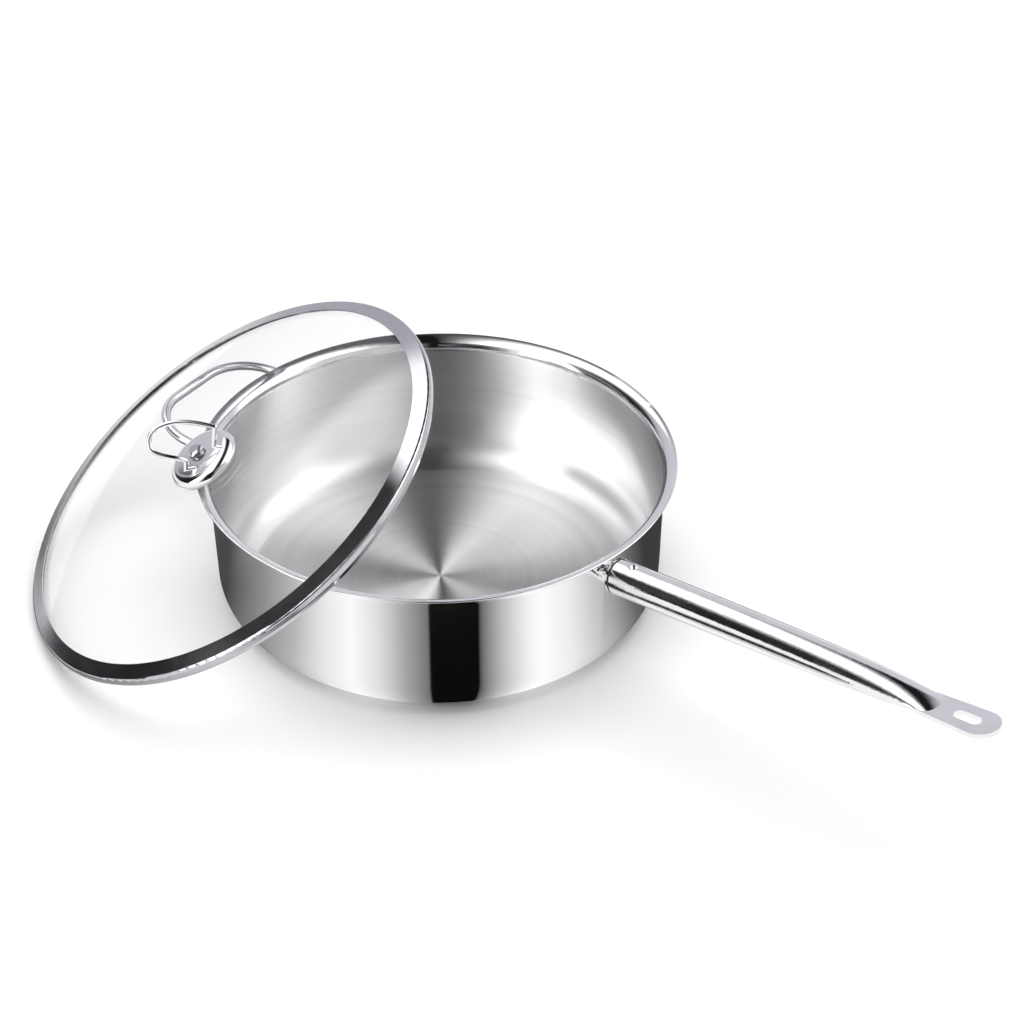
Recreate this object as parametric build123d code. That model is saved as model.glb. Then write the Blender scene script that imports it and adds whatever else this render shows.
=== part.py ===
from build123d import *
import math
import os

# Saucepan with a leaning glass lid. Millimetres, +Z up, origin at the centre of the
# pan's underside, long handle along +X.

# ---- pan body -------------------------------------------------------------------
pan_height = 79.0            # base to top of lip
sheet = 1.0                  # steel sheet gauge
base_radius = 98.0           # where the flat underside turns into the corner
corner_radius = 19.0
wall_foot_radius = base_radius + corner_radius
wall_top_radius = 118.7      # outside of the wall where the lip starts to flare
flare_radius = 6.0           # outside radius of the flared lip
lip_radius = 125.2
floor_height = 4.0           # cooking surface above the table
recess_radius = 96.0         # pocket under the floor that holds the sandwich base
cap_thickness = 0.6
core_fit = 0.05              # gap round the sandwich base in its pocket

# ---- long handle ----------------------------------------------------------------
handle_rise = 7.7            # degrees above the horizontal
handle_root_radius = 119.0
handle_root_height = 66.8
stem_profile = [(-4.0, 5.6), (0.5, 5.6), (3.5, 6.2), (6.5, 7.9), (8.2, 9.3), (9.2, 9.3)]
spigot_radius = 7.9
spigot_end = 30.0
ring_start = 9.2
ring_end = 10.6
ring_radius = 9.0
tube_wall = 0.9
tube_diameter = 18.6
tube_end = 211.0             # where the flattened end has vanished into the tongue
tube_sections = 12           # even steps from the ring to the end
tube_slow_taper = 6.9        # height lost along the whole tube
tube_end_taper = 10.3        # height lost in the pressed end
tube_narrowing = 2.2
tube_slow_drop = 1.05        # the underside stays straight, so the middle sinks
tube_end_drop = 0.55
tube_hollow_sections = 10
tongue_start = 198.0         # inside the tube's solid end
tongue_length = 45.4
tongue_width = 20.0
tongue_neck_width = 16.8
tongue_thickness = 2.4
tongue_drop = 1.65           # below the handle's axis
slot_length = 15.0
slot_width = 6.6
slot_from_tip = 17.0
pin_station = 20.0
pin_radius = 1.6
pin_head_radius = 2.7
pin_head_height = 1.1
pin_depth = 7.0

# ---- helper handle --------------------------------------------------------------
helper_azimuth = 190.0
helper_height = 60.0
helper_rise = 6.5
helper_leg_start = 100.0     # inside the wall, trimmed back to the pads
wall_at_helper = 118.0
helper_wire_radius = 2.4
helper_half_width = 40.5
helper_reach = 163.0         # centre line of the outer bar, measured from the pan axis
helper_bend_radius = 27.0
pad_radius = 7.0
pad_thickness = 1.2
pad_margin = 2.0             # height of the wall band each pad is cut from, past its edge

# ---- lid ------------------------------------------------------------------------
lid_radius = 125.5
band_wall = 1.2
band_sheet = 0.8
band_top_width = 8.5
band_shelf_width = 7.0
bead_step = 1.9              # lower bead: middle of the bead inside the rim
bead_width = 3.5
bead_height = 3.0
bead_lift = 0.3
band_shoulder_fillet = 1.8
band_bead_fillet = 1.5
glass_radius = 123.8
glass_thickness = 3.8
glass_apex = 22.0            # underside of the glass above the band's lower edge
glass_edge_height = 3.0      # the same, measured at glass_edge_radius
glass_edge_radius = 121.5
glass_fit = 0.1
glass_hole_radius = 4.3

# ---- knob -----------------------------------------------------------------------
gasket_radius = 7.5
gasket_thickness = 1.0
gasket_bed = 0.02            # the gasket bears on the curved glass at its outer edge
washer_radius = 6.8
washer_thickness = 1.0
dish_radius = 19.4
dish_height = 6.0
dish_sheet = 1.0
dish_crown_drop = 1.3        # crown above the top of the rounded shoulder
shoulder_in = 5.6
shoulder_bulge = 1.5
shoulder_share = 0.66
upper_gasket_inset = 0.6     # upper gasket inside the dish's rim
glass_clear = 0.005
screw_radius = 2.5
screw_head_radius = 4.6
screw_head_height = 2.4
screw_head_fillet = 0.9
screw_slot_width = 1.2
screw_slot_depth = 1.0
screw_tip_depth = 1.0        # screw's end below the top of the domed nut
bolt_fit = 0.1
bush_wall = 1.6
bush_short = 0.2             # bush ends this far below the glass's top
spacer_radius = 5.0
lock_washer_radius = 4.4
lock_washer_thickness = 0.8
nut_radius = 4.0
nut_height = 2.6
nut_roof = 0.9
nut_dome_radius = 5.6
nut_dome_drop = 2.2
seat_gap = 0.01
loop_wire_radius = 1.3
loop_turn = 188.0            # the loop's own X direction, about the lid's axis

# ---- where the lid stands -------------------------------------------------------
lid_tilt = 32.41
lid_azimuth = 238.7
lid_centre = (-69.07, -81.83, 66.45)

TO_BASE = (Align.CENTER, Align.CENTER, Align.MIN)
parts = {}


def revolve_profile(face_points):
    """Full turn about Z of a closed (radius, height) outline."""
    with BuildPart() as made:
        with BuildSketch(Plane.XZ):
            with BuildLine():
                Polyline(*face_points, close=True)
            make_face()
        revolve(axis=Axis.Z)
    return made.part


def disc(radius, low, high, hole=0.0):
    """Upright round plate between two heights, with an optional hole through it."""
    body = Pos(0, 0, low) * Cylinder(radius, high - low, align=TO_BASE)
    if hole:
        body -= Pos(0, 0, low - 1) * Cylinder(hole, high - low + 2, align=TO_BASE)
    return body


# ---- pan ------------------------------------------------------------------------
flare_centre = (wall_top_radius + flare_radius, pan_height - sheet - flare_radius)
inner_corner = corner_radius - 3.0
inner_foot = wall_foot_radius - sheet


def pan_section(closed_inside):
    """Half section of the pan. closed_inside fills the bowl, for use as a cutter."""
    with BuildSketch(Plane.XZ) as section:
        with BuildLine():
            Line((recess_radius, 0), (base_radius, 0))
            RadiusArc((base_radius, 0), (wall_foot_radius, corner_radius), -corner_radius)
            Line((wall_foot_radius, corner_radius), (wall_top_radius, flare_centre[1]))
            RadiusArc((wall_top_radius, flare_centre[1]), (flare_centre[0], flare_centre[1] + flare_radius),
                      flare_radius)
            lip_low = (flare_centre[0], flare_centre[1] + flare_radius)
            lip_high = (flare_centre[0], pan_height)
            ThreePointArc(lip_low, (lip_radius, pan_height - sheet / 2), lip_high)
            if closed_inside:
                Polyline(lip_high, (0, pan_height), (0, 0), (recess_radius, 0))
            else:
                RadiusArc(lip_high, (wall_top_radius - sheet, flare_centre[1]), -flare_radius - sheet)
                Line((wall_top_radius - sheet, flare_centre[1]), (inner_foot, floor_height + inner_corner))
                floor_edge = (inner_foot - inner_corner, floor_height)
                RadiusArc((inner_foot, floor_height + inner_corner), floor_edge, inner_corner)
                Polyline(floor_edge, (0, floor_height), (0, floor_height - sheet),
                         (recess_radius, floor_height - sheet), (recess_radius, 0))
        make_face()
    return section.sketch


pan_shell = revolve(pan_section(False), axis=Axis.Z)
pan_envelope = revolve(pan_section(True), axis=Axis.Z)
parts["pan_shell"] = pan_shell
parts["base_core_disc"] = disc(recess_radius - core_fit, cap_thickness, floor_height - sheet)
parts["base_cap"] = disc(recess_radius - core_fit, 0.0, cap_thickness)

# ---- long handle: built along +X from its root, then lifted into place -----------
handle_place = Pos(handle_root_radius, 0, handle_root_height) * Rot(0, -handle_rise, 0)


def on_handle_axis(profile):
    """Solid of revolution about the handle's own axis from (station, radius) pairs."""
    outline = [(profile[0][0], 0)] + list(profile) + [(profile[-1][0], 0)]
    with BuildPart() as made:
        with BuildSketch(Plane.XZ):
            with BuildLine():
                Polyline(*outline, close=True)
            make_face()
        revolve(axis=Axis.X)
    return made.part


def tube_loft(shrink, first, last):
    """Loft through the oval sections from one step to another, shrunk all round."""
    sections = []
    for step in range(first, last + 1):
        share = step / tube_sections
        station = ring_end + share * (tube_end - ring_end)
        width = tube_diameter - tube_narrowing * share ** 8
        height = tube_diameter - tube_slow_taper * share ** 3 - tube_end_taper * share ** 12
        drop = tube_slow_drop * share ** 2 + tube_end_drop * share ** 14
        plane = Plane(origin=(station, 0, -drop), x_dir=(0, 1, 0), z_dir=(1, 0, 0))
        sections.append(plane * Ellipse(width / 2 - shrink, height / 2 - shrink))
    return loft(sections)


stem = on_handle_axis(stem_profile + [(ring_start, spigot_radius), (spigot_end, spigot_radius)])
pin_top = tube_diameter / 2
pin_bottom = Pos(pin_station, 0, pin_top - pin_depth)
pin_hole = Pos(pin_station, 0, 0) * Cylinder(pin_radius, 2 * pin_top, align=TO_BASE)
pin_shank_hole = pin_bottom * Cylinder(pin_radius, 2 * pin_depth, align=TO_BASE)

parts["handle_stem"] = (handle_place * (stem - pin_shank_hole)) - pan_envelope

ring = on_handle_axis([(ring_start, ring_radius), (ring_end, ring_radius)])
ring -= on_handle_axis([(ring_start - 1, spigot_radius), (ring_end + 1, spigot_radius)])
parts["handle_ring"] = handle_place * ring

tube = tube_loft(0.0, 0, tube_sections)
hollow = tube_loft(tube_wall, -1, tube_hollow_sections)
with BuildPart() as tongue_made:
    with BuildSketch(Plane.XY):
        round_middle = tongue_length - tongue_width / 2
        Polygon((0, -tongue_neck_width / 2), (round_middle, -tongue_width / 2),
                (round_middle, tongue_width / 2), (0, tongue_neck_width / 2), align=None)
        with Locations((round_middle, 0)):
            Circle(tongue_width / 2)
        with Locations((tongue_length - slot_from_tip, 0)):
            SlotOverall(slot_length, slot_width, mode=Mode.SUBTRACT)
    extrude(amount=tongue_thickness / 2, both=True)
tongue = tongue_made.part
tongue = Pos(tongue_start, 0, -tongue_drop) * tongue
tube = tube - hollow + tongue - pin_hole
parts["handle_tube"] = handle_place * tube

pin = pin_bottom * Cylinder(pin_radius, pin_depth, align=TO_BASE)
head_sphere = (pin_head_radius ** 2 + pin_head_height ** 2) / (2 * pin_head_height)
head = Pos(pin_station, 0, pin_top + pin_head_height - head_sphere) * Sphere(head_sphere)
head &= Pos(pin_station, 0, pin_top) * Cylinder(pin_head_radius, 2 * pin_head_height, align=TO_BASE)
parts["handle_pin"] = handle_place * (pin + head - tube)

# ---- helper handle --------------------------------------------------------------
helper_place = Rot(0, 0, helper_azimuth) * Pos(0, 0, helper_height)
helper_plane = Plane.XY.rotated((0, -helper_rise, 0))
helper_plane = Plane(origin=(wall_at_helper, 0, 0), x_dir=helper_plane.x_dir, z_dir=helper_plane.z_dir)
inner_end = helper_leg_start - wall_at_helper
outer_end = helper_reach - wall_at_helper
with BuildLine(helper_plane) as helper_line:
    FilletPolyline(
        (inner_end, -helper_half_width), (outer_end, -helper_half_width),
        (outer_end, helper_half_width), (inner_end, helper_half_width),
        radius=helper_bend_radius)
helper_path = helper_line.wires()[0]
helper_wire = sweep(
    Plane(origin=helper_path @ 0, z_dir=helper_path % 0) * Circle(helper_wire_radius),
    path=helper_path)

pads = []
taper = (wall_top_radius - wall_foot_radius) / (flare_centre[1] - corner_radius)
foot_rise = math.sqrt(wall_at_helper ** 2 - helper_half_width ** 2) - wall_at_helper
foot_height = helper_height + foot_rise * math.sin(math.radians(helper_rise))
pad_low = foot_height - pad_radius - pad_margin
pad_high = foot_height + pad_radius + pad_margin


def wall_radius(height):
    """Outside radius of the leaning wall at a height."""
    return wall_foot_radius + taper * (height - corner_radius)


pad_shell = revolve_profile([
    (wall_radius(pad_low), pad_low), (wall_radius(pad_low) + pad_thickness, pad_low),
    (wall_radius(pad_high) + pad_thickness, pad_high), (wall_radius(pad_high), pad_high)])
half_angle = math.degrees(math.asin(helper_half_width / wall_at_helper))
for side in (-1, 1):
    outward = Rot(0, 0, helper_azimuth + side * half_angle) * Pos(0, 0, foot_height) * Rot(0, 90, 0)
    round_bar = outward * Cylinder(pad_radius, 2 * lip_radius, align=TO_BASE)
    pads.append(pad_shell & round_bar)
parts["helper_pads"] = Compound(children=[solid for pad in pads for solid in pad.solids()])
bore_low = pad_low - 2 * pad_radius
bore_high = pad_high + 2 * pad_radius
bore = revolve_profile([
    (0, bore_low), (wall_radius(bore_low) + pad_thickness, bore_low),
    (wall_radius(bore_high) + pad_thickness, bore_high), (0, bore_high)])
parts["helper_wire"] = (helper_place * helper_wire) - bore

# ---- lid: built about its own axis, band's lower edge at height 0 ----------------
lid_place = Pos(*lid_centre) * Rot(0, 0, lid_azimuth) * Rot(0, lid_tilt, 0)
sag = glass_apex - glass_edge_height
under_radius = (glass_edge_radius ** 2 + sag ** 2) / (2 * sag)
dome_centre = glass_apex - under_radius
over_radius = under_radius + glass_thickness


def under_glass(radius, offset=0.0):
    """Height of the glass's underside, or of a surface offset below it."""
    return dome_centre + math.sqrt((under_radius - offset) ** 2 - radius ** 2)


def over_glass(radius, offset=0.0):
    """Height of the glass's top, or of a surface offset above it."""
    return dome_centre + math.sqrt((over_radius + offset) ** 2 - radius ** 2)


with BuildSketch(Plane.XZ) as glass_section:
    with BuildLine():
        inner_low = (glass_hole_radius, under_glass(glass_hole_radius))
        outer_low = (glass_radius, under_glass(glass_radius))
        outer_high = (glass_radius, over_glass(glass_radius))
        inner_high = (glass_hole_radius, over_glass(glass_hole_radius))
        RadiusArc(inner_low, outer_low, under_radius)
        Line(outer_low, outer_high)
        RadiusArc(outer_high, inner_high, -over_radius)
        Line(inner_high, inner_low)
    make_face()
lid_glass = revolve(glass_section.sketch, axis=Axis.Z)

band_inner = lid_radius - band_wall
top_in = lid_radius - band_top_width
shelf_in = lid_radius - band_shelf_width
bead_radius = lid_radius - bead_step
bead_in = lid_radius - bead_width
top_outer = over_glass(lid_radius, glass_fit + band_sheet)
with BuildSketch(Plane.XZ) as band_section:
    with BuildLine():
        p0 = (bead_radius, 0)
        p1 = (lid_radius, bead_height)
        p2 = (lid_radius, top_outer)
        p3 = (top_in, over_glass(top_in, glass_fit + band_sheet))
        p4 = (top_in, over_glass(top_in, glass_fit))
        p5 = (band_inner, over_glass(band_inner, glass_fit))
        p6 = (band_inner, under_glass(band_inner, glass_fit))
        p7 = (shelf_in, under_glass(shelf_in, glass_fit))
        p8 = (shelf_in, under_glass(shelf_in, glass_fit + band_sheet))
        p9 = (bead_in, under_glass(bead_in, glass_fit + band_sheet))
        p10 = (bead_in + bead_lift, bead_lift)
        Line(p0, p1)
        Line(p1, p2)
        RadiusArc(p2, p3, -(over_radius + glass_fit + band_sheet))
        Line(p3, p4)
        RadiusArc(p4, p5, over_radius + glass_fit)
        Line(p5, p6)
        RadiusArc(p6, p7, -(under_radius - glass_fit))
        Line(p7, p8)
        RadiusArc(p8, p9, under_radius - glass_fit - band_sheet)
        Polyline(p9, p10, p0)
    make_face()
    fillet(band_section.vertices().sort_by_distance((*p2, 0))[0], band_shoulder_fillet)
    fillet(band_section.vertices().sort_by_distance((*p1, 0))[0], band_bead_fillet)
lid_band = revolve(band_section.sketch, axis=Axis.Z)

# knob stack, bottom to top
glass_top = over_glass(0)
glass_bottom = under_glass(gasket_radius) - gasket_bed
lower_gasket_low = glass_bottom - gasket_thickness
lower_washer_low = lower_gasket_low - washer_thickness
head_low = lower_washer_low - screw_head_height
upper_gasket_high = glass_top + gasket_thickness
dish_low = upper_gasket_high
dish_top = dish_low + dish_height
bolt_hole = screw_radius + bolt_fit

lid_parts = {}
lid_parts["lid_glass"] = lid_glass
lid_parts["lid_band"] = lid_band
lid_parts["lower_gasket"] = disc(gasket_radius, lower_gasket_low, glass_bottom, bolt_hole)
lid_parts["lower_washer"] = disc(washer_radius, lower_washer_low, lower_gasket_low, bolt_hole)
bush_high = glass_top - bush_short
lid_parts["glass_bush"] = disc(bolt_hole + bush_wall, glass_bottom, bush_high, bolt_hole)
upper_gasket = disc(dish_radius - upper_gasket_inset, over_glass(dish_radius), upper_gasket_high, bolt_hole)
upper_gasket -= Pos(0, 0, dome_centre) * Sphere(over_radius + glass_clear)
lid_parts["upper_gasket"] = upper_gasket

side_top = (dish_radius - shoulder_in, dish_top - dish_crown_drop)
side_middle = (dish_radius - shoulder_bulge, dish_low + shoulder_share * (dish_height - dish_crown_drop))
crown_radius = (side_top[0] ** 2 + dish_crown_drop ** 2) / (2 * dish_crown_drop)
inner_crown_radius = crown_radius - dish_sheet
inner_side_radius = side_top[0] - dish_sheet
inner_side_height = dish_top - crown_radius + math.sqrt(inner_crown_radius ** 2 - inner_side_radius ** 2)


def dish_outline(filled):
    """Inverted saucer; filled closes its underside, for use as a cutter."""
    with BuildSketch(Plane.XZ) as section:
        with BuildLine():
            rim_out = (dish_radius, dish_low)
            crown = (0, dish_top)
            ThreePointArc(rim_out, side_middle, side_top)
            RadiusArc(side_top, crown, -crown_radius)
            if filled:
                Polyline(crown, (0, dish_low), rim_out)
            else:
                inner_crown = (0, dish_top - dish_sheet)
                inner_side = (inner_side_radius, inner_side_height)
                Line(crown, inner_crown)
                RadiusArc(inner_crown, inner_side, inner_crown_radius)
                Polyline(inner_side, (dish_radius - dish_sheet, dish_low), rim_out)
        make_face()
    return revolve(section.sketch, axis=Axis.Z)


lid_parts["knob_dish"] = dish_outline(False) - disc(bolt_hole, dish_low - 1, dish_top + 1)
spacer = disc(spacer_radius, upper_gasket_high, dish_top, bolt_hole)
spacer &= Pos(0, 0, dish_top - crown_radius) * Sphere(inner_crown_radius)
lid_parts["knob_spacer"] = spacer
seat = dish_top + seat_gap
lid_parts["lock_washer"] = disc(lock_washer_radius, seat, seat + lock_washer_thickness, bolt_hole)
nut_low = seat + lock_washer_thickness
nut = Pos(0, 0, nut_low) * extrude(RegularPolygon(nut_radius, 6, major_radius=False), nut_height)
nut = nut & (Pos(0, 0, nut_low - nut_dome_drop) * Sphere(nut_dome_radius))
nut -= disc(screw_radius, nut_low - 1, nut_low + nut_height - nut_roof)
lid_parts["knob_nut"] = nut
screw_high = nut_low + nut_height - screw_tip_depth
screw = disc(screw_radius, lower_washer_low, screw_high)
screw += disc(screw_head_radius, head_low, lower_washer_low)
head_top = lower_washer_low - screw_head_height / 2
head_rim = [edge for edge in screw.edges().filter_by(GeomType.CIRCLE) if edge.center().Z < head_top]
screw = fillet(head_rim, screw_head_fillet)
slot_cut = Pos(0, 0, head_low) * Box(3 * screw_head_radius, screw_slot_width, 2 * screw_slot_depth)
lid_parts["knob_screw"] = screw - slot_cut

# wire loop: two short legs, sharp shoulders and a bow that leans back
loop_place = Rot(0, 0, loop_turn) * Pos(0, 0, dish_low)
left_foot = (-12.6, -4.0, 1.0)
left_shoulder = (-6.6, -3.9, 9.0)
right_foot = (5.2, -4.3, 1.0)
right_shoulder = (16.1, -3.0, 13.0)
bow = [left_shoulder, (-13.6, 0.0, 17.6), (-16.4, 4.3, 23.0), (-12.6, 7.3, 27.4), (-4.0, 7.8, 27.0),
       (5.4, 4.6, 22.6), right_shoulder]


def bar(start, end):
    """Straight piece of the loop's wire between two points."""
    way = Vector(*end) - Vector(*start)
    return Plane(origin=start, z_dir=way) * Cylinder(loop_wire_radius, way.length, align=TO_BASE)


bow_path = Edge.make_spline([Vector(*p) for p in bow])
bow_wire = sweep(Plane(origin=bow_path @ 0, z_dir=bow_path % 0) * Circle(loop_wire_radius), path=bow_path)
loop = bow_wire + bar(left_foot, left_shoulder) + bar(right_foot, right_shoulder)
for corner in (left_shoulder, right_shoulder):
    loop += Pos(*corner) * Sphere(loop_wire_radius)
lid_parts["knob_loop"] = (loop_place * loop) - dish_outline(True)

for name, shape in lid_parts.items():
    parts[name] = lid_place * shape

os.makedirs("parts", exist_ok=True)
for name, shape in parts.items():
    export_step(shape, os.path.join("parts", name + ".step"))
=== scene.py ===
import math

import bmesh
import bpy
from mathutils import Matrix, Vector


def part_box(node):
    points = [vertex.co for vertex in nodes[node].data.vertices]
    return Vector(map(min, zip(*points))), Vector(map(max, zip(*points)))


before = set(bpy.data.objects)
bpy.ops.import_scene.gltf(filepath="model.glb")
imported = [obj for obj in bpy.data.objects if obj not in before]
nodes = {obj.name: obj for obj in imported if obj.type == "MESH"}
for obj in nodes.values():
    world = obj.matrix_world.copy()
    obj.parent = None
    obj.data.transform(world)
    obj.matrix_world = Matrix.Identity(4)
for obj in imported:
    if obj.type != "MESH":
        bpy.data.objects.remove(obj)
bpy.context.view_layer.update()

scene = bpy.context.scene

# ---- where the viewer stands, in metres -----------------------------------------------
CAMERA_PLACE = Vector((0.9809, -0.9555, 1.0041))
CAMERA_AIM = Vector((0.0292, 0.0254, 0.0467))
CAMERA_ROLL = -0.33            # degrees
CAMERA_LENS = 111.2            # millimetres, as is the sensor
CAMERA_SENSOR = 36.0

# level directions: towards the viewer and to the viewer's right, from the picture's
# middle and from the pan's axis
toward = CAMERA_PLACE - CAMERA_AIM
toward.z = 0.0
toward.normalize()
right = Vector((-toward.y, toward.x, 0.0))
pan_toward = Vector((CAMERA_PLACE.x, CAMERA_PLACE.y, 0.0)).normalized()
pan_right = Vector((-pan_toward.y, pan_toward.x, 0.0))

# ---- axes that turned and spun metal goes round ---------------------------------------
PAN_MIDDLE = (0.0, 0.0, 0.0)
PAN_AXIS = (0.0, 0.0, 1.0)
LID_AXIS = Vector((-0.2785, -0.4580, 0.8442)).normalized()
band_low, band_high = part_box("lid_band")
lid_middle = (band_low + band_high) / 2

WHITE = (1.0, 1.0, 1.0, 1.0)


class Tree:
    """Short names for making shader nodes, in a tree that starts empty."""

    def __init__(self, tree):
        self.tree = tree
        self.made = tree.nodes
        self.made.clear()

    def add(self, kind, **settings):
        node = self.made.new("ShaderNode" + kind)
        for key, value in settings.items():
            setattr(node, key, value)
        return node

    def link(self, source, socket):
        self.tree.links.new(source, socket)

    def feed(self, socket, value):
        if isinstance(value, bpy.types.NodeSocket):
            self.link(value, socket)
        else:
            socket.default_value = value

    def place(self):
        return self.add("TexCoord").outputs["Object"]

    def split(self, vector):
        node = self.add("SeparateXYZ")
        self.feed(node.inputs[0], vector)
        return node.outputs

    def math(self, operation, *values):
        node = self.add("Math", operation=operation)
        for socket, value in zip(node.inputs, values):
            self.feed(socket, value)
        return node.outputs[0]

    def vector(self, operation, *values):
        node = self.add("VectorMath", operation=operation)
        for socket, value in zip(node.inputs, values):
            self.feed(socket, value)
        return node.outputs["Value" if operation in ("DOT_PRODUCT", "LENGTH") else "Vector"]

    def range(self, value, low, high, new_low=0.0, new_high=1.0, smooth=False):
        node = self.add("MapRange", interpolation_type="SMOOTHSTEP" if smooth else "LINEAR")
        for socket, number in zip(node.inputs, (value, low, high, new_low, new_high)):
            self.feed(socket, number)
        return node.outputs[0]

    def ramp(self, value, stops):
        """Brightness or colour by value, through (place from 0 to 1, level) pairs."""
        node = self.add("ValToRGB")
        node.color_ramp.interpolation = "LINEAR"
        elements = node.color_ramp.elements
        while len(elements) > 1:
            elements.remove(elements[-1])
        for index, (place, colour) in enumerate(stops):
            element = elements[0] if index == 0 else elements.new(place)
            element.position = place
            if not isinstance(colour, tuple):
                colour = (colour, colour, colour)
            element.color = (*colour, 1.0)
        self.feed(node.inputs[0], value)
        return node.outputs[0]

    def noise(self, value, scale, detail=3.0, roughness=0.55):
        """Noise over a vector, or along a single number."""
        lone = value.type == "VALUE"
        node = self.add("TexNoise", noise_dimensions="1D" if lone else "3D")
        self.feed(node.inputs["W" if lone else "Vector"], value)
        node.inputs["Scale"].default_value = scale
        node.inputs["Detail"].default_value = detail
        node.inputs["Roughness"].default_value = roughness
        return node.outputs["Fac"]

    def mix(self, factor, a, b):
        node = self.add("Mix", data_type="FLOAT")
        self.feed(node.inputs["Factor"], factor)
        self.feed(node.inputs["A"], a)
        self.feed(node.inputs["B"], b)
        return node.outputs["Result"]

    def tint(self, factor, a, b):
        """Mixes two colours. The Mix node has its colour sockets at 6 and 7."""
        node = self.add("Mix", data_type="RGBA")
        self.feed(node.inputs[0], factor)
        self.feed(node.inputs[6], a)
        self.feed(node.inputs[7], b)
        return node.outputs[2]

    def mix_shader(self, factor, a, b):
        node = self.add("MixShader")
        self.feed(node.inputs[0], factor)
        self.link(a, node.inputs[1])
        self.link(b, node.inputs[2])
        return node.outputs[0]

    def bump(self, height, strength, distance):
        node = self.add("Bump")
        node.inputs["Strength"].default_value = strength
        node.inputs["Distance"].default_value = distance
        self.feed(node.inputs["Height"], height)
        return node.outputs["Normal"]


def surface(name, **sockets):
    """A material with one Principled shader; sockets sets its plain numbers."""
    material = bpy.data.materials.new(name)
    material.use_nodes = True
    tree = Tree(material.node_tree)
    shader = tree.add("BsdfPrincipled")
    tree.link(shader.outputs[0], tree.add("OutputMaterial").inputs["Surface"])
    for key, value in sockets.items():
        shader.inputs[key.replace("_", " ")].default_value = value
    return material, tree, shader, tree.place()


def axis_radius(tree, place, centre, axis):
    """Distance of a point from the line through centre along axis."""
    offset = tree.vector("SUBTRACT", place, tuple(centre))
    return tree.vector("LENGTH", tree.vector("CROSS_PRODUCT", offset, tuple(axis)))


def shaded(colour, factor):
    return tuple(value * factor for value in colour[:3]) + (1.0,)


def dress(slot, material):
    """Puts a material on every node whose slot has this name."""
    for node in nodes.values():
        for place in node.material_slots:
            if place.material and place.material.name.split(".")[0] == slot:
                place.material = material


# ---- steel of the pan: mirror outside, satin wall and spun floor inside ---------------
CORNER_TOP = 0.019             # height where the bottom corner turns into the wall
CORNER_CENTRE = 0.098          # the corner's centre line, from the pan's axis
CORNER_SPLIT = (0.0184, 0.0186)    # between the turning radius of its two faces
LIP_FOOT = 0.072
WALL_MIDDLE = (0.1165, 0.1182)     # radius in mid-sheet at the corner and under the lip
WALL_SPLIT = 0.0001
SATIN_END = (0.0715, 0.0735)   # heights between which the satin gives way to polish
FLOOR_EDGE = (0.1015, 0.0995)
SATIN = (0.30, 0.50)           # roughness of wall and floor
POLISHED_STEEL = (0.86, 0.86, 0.87, 1.0)
SATIN_STEEL = ((0.73, 0.73, 0.735, 1.0), (0.64, 0.64, 0.645, 1.0))


def inside_share(tree, radius, height):
    """1 on the pan's inner faces and 0 on its outer ones."""
    middle = tree.range(height, CORNER_TOP, LIP_FOOT, *WALL_MIDDLE)
    inward = tree.range(tree.math("SUBTRACT", middle, radius), -WALL_SPLIT, WALL_SPLIT)
    below_lip = tree.range(height, *SATIN_END, 1.0, 0.0, smooth=True)
    wall = tree.math("MULTIPLY", inward, below_lip)
    # in the corner, the faces are told apart by their distance from its centre line
    across = tree.math("MAXIMUM", tree.math("SUBTRACT", radius, CORNER_CENTRE), 0.0)
    down = tree.math("SUBTRACT", CORNER_TOP, height)
    across_squared = tree.math("MULTIPLY", across, across)
    down_squared = tree.math("MULTIPLY", down, down)
    turn = tree.math("SQRT", tree.math("ADD", across_squared, down_squared))
    corner = tree.range(turn, *CORNER_SPLIT, 1.0, 0.0)
    return tree.mix(tree.math("GREATER_THAN", height, CORNER_TOP), corner, wall)


def pan_steel():
    material, tree, shader, place = surface("pan_steel", Metallic=1.0, Anisotropic=1.0,
                                            Anisotropic_Rotation=0.25)
    tangent = tree.add("Tangent", direction_type="RADIAL", axis="Z")
    tree.feed(shader.inputs["Tangent"], tangent.outputs[0])
    radius = axis_radius(tree, place, PAN_MIDDLE, PAN_AXIS)
    height = tree.split(place)["Z"]
    inside = inside_share(tree, radius, height)
    floor = tree.range(radius, *FLOOR_EDGE, 0.0, 1.0, smooth=True)
    # rings lie one above another on the wall and one round another on the floor
    line = tree.mix(floor, height, radius)
    rings = tree.noise(line, 1400.0, 2.0, 0.7)
    broad_rings = tree.noise(line, 160.0, 3.0, 0.6)
    smudge = tree.noise(place, 22.0, 4.0)
    ripple = tree.math("SUBTRACT", rings, 0.5)
    satin = tree.math("ADD", tree.mix(floor, *SATIN), tree.math("MULTIPLY", ripple, 0.10))
    polish = tree.range(smudge, 0.35, 0.75, 0.035, 0.085)
    tree.feed(shader.inputs["Roughness"], tree.mix(inside, polish, satin))
    satin_colour = tree.tint(tree.range(broad_rings, 0.3, 0.7, 0.0, 0.6), *SATIN_STEEL)
    tree.feed(shader.inputs["Base Color"], tree.tint(inside, POLISHED_STEEL, satin_colour))
    scratch = tree.math("MULTIPLY", ripple, inside)
    tree.feed(shader.inputs["Normal"], tree.bump(scratch, 0.12, 0.00003))
    return material


# ---- the other materials --------------------------------------------------------------
STREAK = 0.012                 # how much slower polishing lines change along their length


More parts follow.
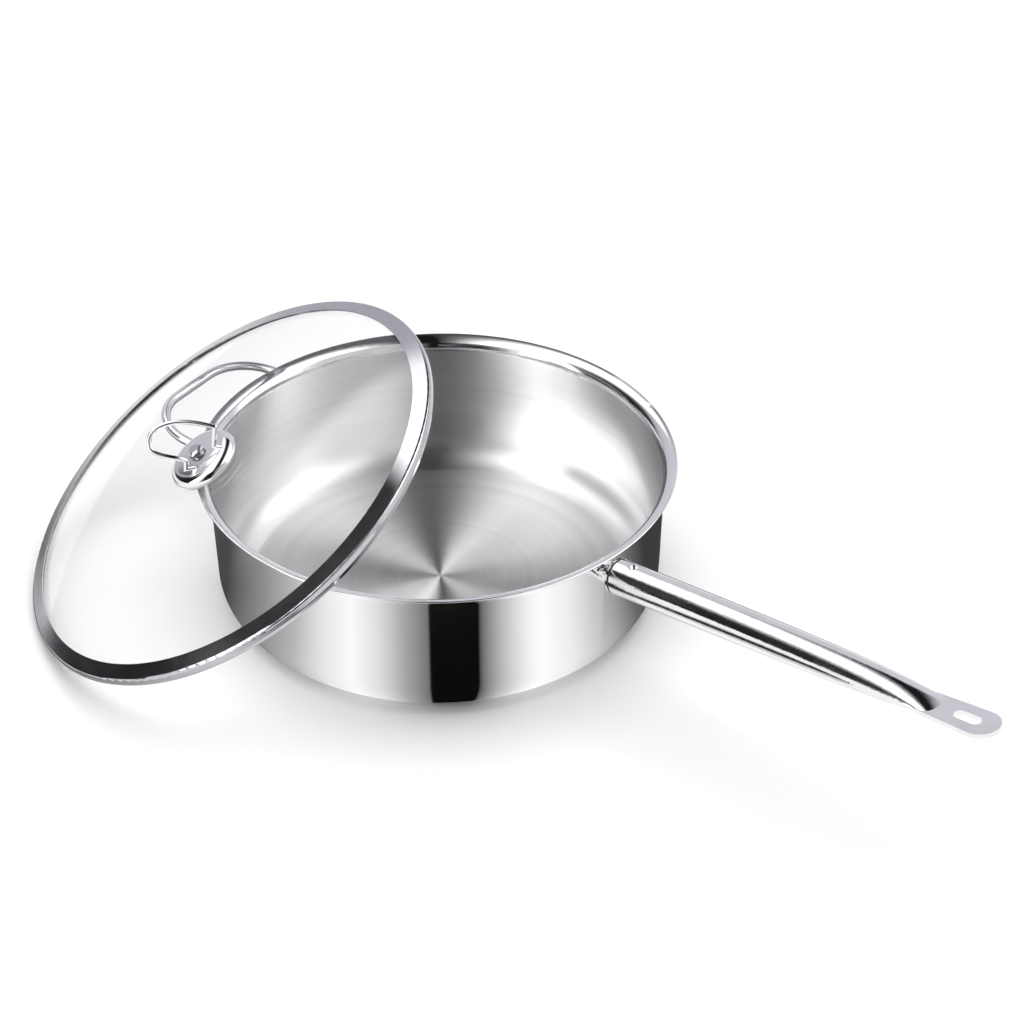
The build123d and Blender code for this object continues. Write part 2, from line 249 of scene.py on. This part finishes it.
def polished(name, colour, low, high, streaks=False, depth=0.00001):
    """Polished steel with faint smudges; streaks draws fine polishing lines along X."""
    material, tree, shader, place = surface(name, Metallic=1.0)
    smudge = tree.noise(place, 60.0, 4.0)
    roughness = tree.range(smudge, 0.3, 0.75, low, high)
    if streaks:
        lines = tree.noise(tree.vector("MULTIPLY", place, (STREAK, 1.0, 1.0)), 1500.0, 2.0, 0.6)
    else:
        lines = tree.noise(place, 900.0, 2.0, 0.6)
    ripple = tree.math("MULTIPLY", tree.math("SUBTRACT", lines, 0.5), (high - low) * 0.8)
    tree.feed(shader.inputs["Roughness"], tree.math("ADD", roughness, ripple))
    stain = tree.range(smudge, 0.4, 0.8)
    tree.feed(shader.inputs["Base Color"], tree.tint(stain, colour, shaded(colour, 0.9)))
    tree.feed(shader.inputs["Normal"], tree.bump(lines, 0.2, depth))
    return material


def turned(name, colour, centre, axis, low, high):
    """Turned or spun metal: fine rings about an axis."""
    material, tree, shader, place = surface(name, Metallic=1.0)
    radius = axis_radius(tree, place, centre, axis)
    rings = tree.noise(radius, 1100.0, 2.0, 0.65)
    smudge = tree.noise(place, 90.0, 4.0)
    stain = tree.range(smudge, 0.4, 0.8, 0.0, 0.08)
    tree.feed(shader.inputs["Roughness"], tree.math("ADD", tree.mix(rings, low, high), stain))
    tree.feed(shader.inputs["Base Color"], tree.tint(smudge, colour, shaded(colour, 0.86)))
    tree.feed(shader.inputs["Normal"], tree.bump(rings, 0.25, 0.00003))
    return material


def rubber(name, colour, roughness):
    """Moulded silicone with a fine grain."""
    material, tree, shader, place = surface(name)
    speckle = tree.noise(place, 900.0)
    wipe = tree.range(tree.noise(place, 120.0), 0.3, 0.7, roughness - 0.08, roughness + 0.08)
    tree.feed(shader.inputs["Roughness"], wipe)
    lighter = tuple(min(1.0, value * 1.25 + 0.01) for value in colour[:3]) + (1.0,)
    tree.feed(shader.inputs["Base Color"], tree.tint(speckle, colour, lighter))
    tree.feed(shader.inputs["Normal"], tree.bump(speckle, 0.3, 0.00005))
    return material


def clear_glass():
    """Clear glass with a faint film and a slow wave in its surface."""
    material, tree, shader, place = surface("lid_clear_glass", Transmission_Weight=1.0, IOR=1.47)
    film = tree.noise(place, 14.0, 4.0)
    tree.feed(shader.inputs["Roughness"], tree.range(film, 0.45, 0.8, 0.0, 0.03))
    tree.feed(shader.inputs["Base Color"],
              tree.tint(film, (0.975, 0.98, 0.98, 1.0), (0.96, 0.97, 0.97, 1.0)))
    wave = tree.noise(place, 9.0, 2.0)
    tree.feed(shader.inputs["Normal"], tree.bump(wave, 0.1, 0.0002))
    return material


WIRE_STEEL = (0.84, 0.84, 0.85, 1.0)
dress("polished_steel", pan_steel())
dress("handle_steel", polished("handle_polish", WIRE_STEEL, 0.07, 0.13, streaks=True, depth=0.00002))
dress("wire_steel", polished("wire_polish", WIRE_STEEL, 0.05, 0.10))
dress("knob_chrome", polished("knob_polish", (0.86, 0.86, 0.88, 1.0), 0.03, 0.07))
dress("band_steel", turned("band_polish", (0.56, 0.56, 0.59, 1.0), lid_middle, LID_AXIS, 0.10, 0.17))
dress("fastener_steel",
      turned("fastener_turned", (0.62, 0.62, 0.63, 1.0), lid_middle, LID_AXIS, 0.2, 0.32))
dress("base_steel",
      turned("base_spun", (0.68, 0.68, 0.69, 1.0), PAN_MIDDLE, PAN_AXIS, 0.25, 0.42))
dress("base_aluminium",
      turned("core_aluminium", (0.78, 0.79, 0.80, 1.0), PAN_MIDDLE, PAN_AXIS, 0.35, 0.5))
dress("black_silicone", rubber("ring_rubber", (0.012, 0.012, 0.012, 1.0), 0.5))
dress("seal_silicone", rubber("seal_rubber", (0.62, 0.62, 0.60, 1.0), 0.45))
dress("clear_glass", clear_glass())
nodes["lid_glass"].visible_shadow = False


# ---- studio floor ---------------------------------------------------------------------
def flat_mesh(name, rings, segments, z):
    """A flat ring-shaped net in the XY plane, built ring by ring."""
    mesh = bpy.data.meshes.new(name)
    net = bmesh.new()
    rows = []
    for radius in rings:
        row = []
        for index in range(segments + 1):
            angle = math.tau * index / segments
            row.append(net.verts.new((radius * math.cos(angle), radius * math.sin(angle), z)))
        rows.append(row)
    for inner, outer in zip(rows, rows[1:]):
        for a, b, c, d in zip(inner, inner[1:], outer[1:], outer):
            net.faces.new((a, d, c, b))
    net.to_mesh(mesh)
    net.free()
    made = bpy.data.objects.new(name, mesh)
    scene.collection.objects.link(made)
    return made


def floor_paper():
    material, tree, shader, place = surface("floor_paper", Roughness=0.9, Specular_IOR_Level=0.1)
    grain = tree.noise(place, 300.0)
    tree.feed(shader.inputs["Base Color"],
              tree.tint(grain, (0.86, 0.86, 0.86, 1.0), (0.88, 0.88, 0.88, 1.0)))
    return material


floor = flat_mesh("studio_floor", (0.0001, 0.5, 1.5, 3.0, 6.0), 96, -0.0002)
floor.data.materials.append(floor_paper())


# ---- cards that only gloss sees, which stand in for a studio's flags ------------------
def glow(name, make_strength, make_gap):
    """A shining card's material. make_strength(tree, place) gives its brightness, and
    make_gap(tree) the share of light that passes through it."""
    material = bpy.data.materials.new(name)
    material.use_nodes = True
    tree = Tree(material.node_tree)
    shine = tree.add("Emission")
    tree.feed(shine.inputs["Color"], make_strength(tree, tree.place()))
    clear = tree.add("BsdfTransparent")
    shown = tree.mix_shader(make_gap(tree), shine.outputs[0], clear.outputs[0])
    tree.link(shown, tree.add("OutputMaterial").inputs["Surface"])
    return material


def gloss_only(card, material):
    card.data.materials.append(material)
    card.visible_camera = False
    card.visible_diffuse = False
    card.visible_shadow = False
    card.visible_transmission = False


def turn_bands(tree, ahead, aside, bands):
    """Brightness by direction: (degrees from ahead towards aside, brightness) pairs."""
    share = tree.range(tree.math("ARCTAN2", aside, ahead), -math.pi, math.pi)
    return tree.ramp(share, [((angle + 180) / 360, level) for angle, level in bands])


def fan_light(centre, bands):
    """Bands that fan out from centre, by direction from the viewer's side."""
    def strength(tree, place):
        offset = tree.vector("SUBTRACT", place, tuple(centre))
        ahead = tree.vector("DOT_PRODUCT", offset, tuple(pan_toward))
        aside = tree.vector("DOT_PRODUCT", offset, tuple(pan_right))
        return turn_bands(tree, ahead, aside, bands)
    return strength


# A round wall seen from outside gathers the floor in front of it towards a line half a
# radius from its axis, so bands that fan out from there stand upright in the wall. The
# hollow wall does the same with the pan's floor, from half a radius behind the axis.
HALF_RADIUS = 0.059
FAN_BANDS = [
    (-180, 0.30), (-150, 0.05), (-112, 0.03), (-89, 0.30), (-73, 0.53), (-58, 0.93), (-45, 1.12),
    (-32, 0.86), (-19, 0.45), (-7.0, 0.20), (-5.6, 0.004), (18.5, 0.004), (20, 0.16), (31, 0.60),
    (43, 1.02), (50, 1.15), (64, 0.98), (79, 0.60), (88, 0.37), (97, 0.16), (108, 0.05),
    (150, 0.05), (180, 0.30),
]
FAN_START = 0.099
FAN_REACH = 0.24
FAN_FADE = 0.42
FAN_HEIGHT = 0.0003
POOL_BANDS = [
    (-180, 0.02), (-172, 0.02), (-160, 0.40), (-145, 0.70), (-125, 0.70), (-112, 1.2), (-98, 1.8),
    (-85, 2.6), (-52, 2.6), (-40, 1.2), (-28, 0.30), (-20, 0.02), (4, 0.02), (14, 0.45),
    (24, 0.65), (62, 0.65), (78, 0.60), (92, 2.4), (100, 3.8), (128, 3.6), (140, 1.6),
    (150, 0.40), (158, 0.02), (180, 0.02),
]
POOL_REACH = 0.098
POOL_HEIGHT = 0.0046           # just over the pan's floor
CARD_SEGMENTS = 128


def from_behind(tree):
    return tree.add("NewGeometry").outputs["Backfacing"]


def outer_edge(tree):
    """Ends the table card at its reach on the viewer's side, and fades it out behind."""
    place = tree.place()
    radius = axis_radius(tree, place, PAN_MIDDLE, PAN_AXIS)
    fade = tree.range(radius, FAN_REACH, FAN_FADE, smooth=True)
    front = tree.range(tree.vector("DOT_PRODUCT", place, tuple(pan_toward)), -0.1, 0.0)
    past = tree.math("GREATER_THAN", radius, FAN_REACH)
    return tree.math("MAXIMUM", fade, tree.math("MULTIPLY", front, past))


pool = flat_mesh("reflection_pool", (0.0002, 0.03, 0.06, POOL_REACH), CARD_SEGMENTS, POOL_HEIGHT)
gloss_only(pool, glow("pool_glow", fan_light(pan_toward * -HALF_RADIUS, POOL_BANDS), from_behind))

fan_rings = (FAN_START, 0.11, 0.14, FAN_REACH, FAN_FADE)
fan = flat_mesh("reflection_fan", fan_rings, CARD_SEGMENTS, FAN_HEIGHT)
gloss_only(fan, glow("fan_glow", fan_light(pan_toward * HALF_RADIUS, FAN_BANDS), outer_edge))

# ---- a small black flag over the lid's near edge --------------------------------------
FLAG_PLACE = Vector((0.042, -0.115, 0.088))    # middle of the stretch of band that it darkens
FLAG_FACING = Vector((-0.53, -0.35, 0.77)).normalized()
FLAG_ALONG = Vector((0.17, 0.85, 0.5))
FLAG_AWAY = 0.06
FLAG_LENGTH = 0.19
FLAG_WIDTH = 0.10


def flag_edges(tree):
    """Fades the flag out over the outer third of its length and width."""
    along, across = tree.split(tree.place())[:2]
    shares = []
    for distance, size in ((along, FLAG_LENGTH), (across, FLAG_WIDTH)):
        away = tree.math("ABSOLUTE", distance)
        shares.append(tree.range(away, size / 3, size / 2, smooth=True))
    return tree.math("MAXIMUM", *shares)


def flag_light(tree, place):
    return tree.range(tree.noise(place, 8.0), 0.3, 0.7, 0.01, 0.06)


def flag_card():
    """A rectangle that faces FLAG_FACING with its length along the band."""
    along = (FLAG_ALONG - FLAG_ALONG.dot(FLAG_FACING) * FLAG_FACING).normalized()
    across = FLAG_FACING.cross(along)
    half_length = FLAG_LENGTH / 2
    half_width = FLAG_WIDTH / 2
    mesh = bpy.data.meshes.new("reflection_flag")
    corners = [(x * half_length, y * half_width, 0.0) for x, y in ((-1, -1), (1, -1), (1, 1), (-1, 1))]
    mesh.from_pydata(corners, [], [(0, 1, 2, 3)])
    made = bpy.data.objects.new("reflection_flag", mesh)
    scene.collection.objects.link(made)
    made.rotation_euler = Matrix((along, across, FLAG_FACING)).transposed().to_euler()
    made.location = FLAG_PLACE + FLAG_FACING * FLAG_AWAY
    return made


gloss_only(flag_card(), glow("flag_glow", flag_light, flag_edges))

# ---- light all round ------------------------------------------------------------------
# Two wide boxes overhead with a dark gap between them near the viewer's plane, as
# (place along the viewer's right hand from -1 to 1, brightness).
BOX_BANDS = [
    (-1.0, 0.01), (-0.86, 0.03), (-0.80, 0.30), (-0.71, 1.0), (-0.63, 2.2), (-0.57, 3.0),
    (-0.40, 3.0), (-0.27, 1.5), (-0.18, 0.75), (-0.09, 0.22), (0.0, 0.01), (0.2, 0.01),
    (0.26, 0.10), (0.35, 0.50), (0.44, 1.3), (0.52, 2.1), (0.65, 2.7), (0.8, 2.4), (1.0, 1.2),
]
# a low sweep of paper behind the object, given the same way
PAPER_BANDS = [
    (-1.0, 0.02), (-0.82, 0.05), (-0.72, 0.5), (-0.6, 0.62), (0.1, 0.72), (0.7, 0.8), (1.0, 0.6),
]
PAPER_TINT = (0.97, 0.95, 1.03)
# the room on the viewer's side, as (turn from the viewer in degrees, brightness)
FRONT_BANDS = [
    (-180, 0.01), (-76, 0.01), (-68, 3.0), (-62, 3.2), (-52, 3.2), (-42, 1.3), (-30, 0.25),
    (-22, 0.01), (4, 0.01), (14, 0.35), (24, 0.6), (60, 0.7), (80, 1.6), (110, 1.6), (180, 0.6),
]
# Camera and diffuse rays see plain white at these strengths; only gloss sees the bands.
PLAIN_LEVELS = {"Is Camera Ray": 1.0, "Is Diffuse Ray": 0.68}


def side_bands(tree, aside, bands, tint=(1.0, 1.0, 1.0)):
    """Brightness by place along the viewer's right hand."""
    share = tree.range(aside, -1.0, 1.0)
    stops = [((at + 1) / 2, tuple(level * part for part in tint)) for at, level in bands]
    return tree.ramp(share, stops)


def banded_light(tree, way):
    """Colour of the surround by direction."""
    aside = tree.vector("DOT_PRODUCT", way, tuple(right))
    ahead = tree.vector("DOT_PRODUCT", way, tuple(toward))
    up = tree.split(way)["Z"]
    boxes = side_bands(tree, aside, BOX_BANDS)
    paper = side_bands(tree, aside, PAPER_BANDS, PAPER_TINT)
    front = turn_bands(tree, ahead, aside, FRONT_BANDS)
    before = tree.range(ahead, 0.2, 0.35, smooth=True)
    under_boxes = tree.range(up, 0.75, 0.6, smooth=True)
    sides = tree.tint(tree.math("MULTIPLY", before, under_boxes), boxes, front)
    behind = tree.range(ahead, -0.25, -0.45, smooth=True)
    low = tree.range(up, 0.62, 0.54, smooth=True)
    return tree.tint(tree.math("MULTIPLY", behind, low), sides, paper)


def background(tree, colour, strength):
    node = tree.add("Background")
    tree.feed(node.inputs["Color"], colour)
    node.inputs["Strength"].default_value = strength
    return node.outputs[0]


def studio_world():
    world = bpy.data.worlds.new("studio")
    scene.world = world
    world.use_nodes = True
    tree = Tree(world.node_tree)
    way = tree.add("TexCoord").outputs["Generated"]
    shown = background(tree, banded_light(tree, way), 1.0)
    path = tree.add("LightPath")
    for ray, level in PLAIN_LEVELS.items():
        shown = tree.mix_shader(path.outputs[ray], shown, background(tree, WHITE, level))
    tree.link(shown, tree.add("OutputWorld").inputs["Surface"])


def overhead_lamp():
    """A wide lamp that lights the floor and isn't mirrored in the steel."""
    light = bpy.data.lights.new("overhead", "AREA")
    light.shape = "DISK"
    light.size = 2.4
    light.energy = 36.0
    lamp = bpy.data.objects.new("overhead", light)
    scene.collection.objects.link(lamp)
    lamp.location = right * 0.3 - toward * 0.25 + Vector((0.0, 0.0, 2.4))
    lamp.rotation_euler = (-lamp.location).to_track_quat("-Z", "Y").to_euler()
    lamp.visible_glossy = False
    lamp.visible_camera = False


studio_world()
overhead_lamp()


# ---- camera ---------------------------------------------------------------------------
def viewer_camera():
    eye = bpy.data.cameras.new("camera")
    eye.lens = CAMERA_LENS
    eye.sensor_width = CAMERA_SENSOR
    eye.clip_start = 0.01
    camera = bpy.data.objects.new("camera", eye)
    scene.collection.objects.link(camera)
    camera.location = CAMERA_PLACE
    aim = (CAMERA_AIM - CAMERA_PLACE).to_track_quat("-Z", "Y").to_matrix()
    roll = Matrix.Rotation(math.radians(CAMERA_ROLL), 3, "Z")
    camera.rotation_euler = (aim @ roll).to_euler()
    return camera


scene.camera = viewer_camera()
scene.view_settings.view_transform = "Standard"
